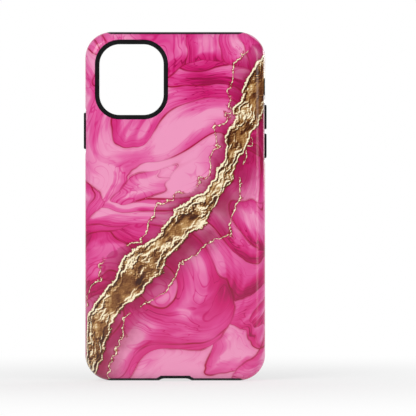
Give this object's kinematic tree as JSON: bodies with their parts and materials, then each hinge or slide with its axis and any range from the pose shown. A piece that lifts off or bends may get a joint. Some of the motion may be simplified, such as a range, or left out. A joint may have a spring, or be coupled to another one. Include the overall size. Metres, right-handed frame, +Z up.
{
  "type": "phone case",
  "caption": "Two-layer tough phone case: a glossy printed hard shell over a black rubbery liner, with a raised camera rim, side openings and flexing button covers.",
  "frame": {"origin": "middle of the case's lowest edge, in the middle of its width and depth", "axes": "+Z up along the case towards the camera end, +X to the right when looking at the printed back, -Y out of the printed back, +Y out of the open front"},
  "size_m": [0.0816, 0.0114, 0.1555],
  "materials": {
    "printed_shell": "glossy printed polycarbonate: pink ink marble with a gold foil vein",
    "liner": "satin black flexible moulding",
    "button_cover": "matt black flexible moulding"
  },
  "bodies": {
    "case": {"outer_shell": "printed_shell", "inner_liner": "liner", "volume_up_web": "liner", "volume_down_web": "liner", "side_web": "liner"},
    "volume_up_cover": {"volume_up_button": "button_cover"},
    "volume_down_cover": {"volume_down_button": "button_cover"},
    "side_cover": {"side_button": "button_cover"}
  },
  "joints": [
    {"name": "volume_up_press", "type": "slide", "parent": "case", "child": "volume_up_cover", "axis": [-1, 0, 0], "range_m": [0, 0.00035], "stiffness_N_per_m": 2000, "deforming": ["volume_up_web"]},
    {"name": "volume_down_press", "type": "slide", "parent": "case", "child": "volume_down_cover", "axis": [-1, 0, 0], "range_m": [0, 0.00035], "stiffness_N_per_m": 2000, "deforming": ["volume_down_web"]},
    {"name": "side_press", "type": "slide", "parent": "case", "child": "side_cover", "axis": [1, 0, 0], "range_m": [0, 0.00035], "stiffness_N_per_m": 2000, "deforming": ["side_web"]}
  ]
}
